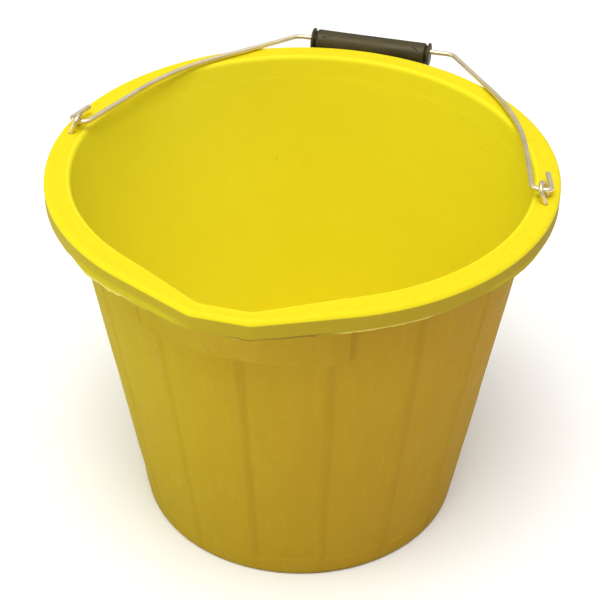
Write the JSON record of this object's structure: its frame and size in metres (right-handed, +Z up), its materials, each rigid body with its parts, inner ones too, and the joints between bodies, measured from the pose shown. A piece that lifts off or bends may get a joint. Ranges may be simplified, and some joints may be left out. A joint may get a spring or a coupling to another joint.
{
  "type": "builder's mixing bucket",
  "caption": "Tapered ribbed plastic mixing bucket with a pouring lip, a turned-over rim, wire staple ears, a steel wire bail and a loose plastic grip.",
  "frame": {"origin": "centre of the foot ring, on the ground", "axes": "+Z up out of the mouth, -Y towards the pouring lip, the two ears on the X axis; the bail lies back towards +Y"},
  "size_m": [0.334, 0.362, 0.2745],
  "materials": {
    "yellow_plastic": "semi-matt moulded polypropylene",
    "staple_steel": "galvanised wire",
    "bail_steel": "galvanised wire, dull",
    "black_plastic": "dull black moulded plastic"
  },
  "bodies": {
    "bucket": {"bucket_shell": "yellow_plastic", "staple_left": "staple_steel", "staple_right": "staple_steel"},
    "bail": {"bail_wire": "bail_steel"},
    "grip_body": {"grip": "black_plastic"}
  },
  "joints": [
    {"name": "bail_hinge", "type": "hinge", "parent": "bucket", "child": "bail", "pos_m": [0, 0, 0.2689], "axis": [1, 0, 0], "range_deg": [0, 178]},
    {"name": "grip_spin", "type": "hinge", "parent": "bail", "child": "grip_body", "pos_m": [0.00375, 0.17415, 0.26367], "axis": [0.9997, 0.0242, -0.0007], "range_deg": [0, 150]}
  ]
}
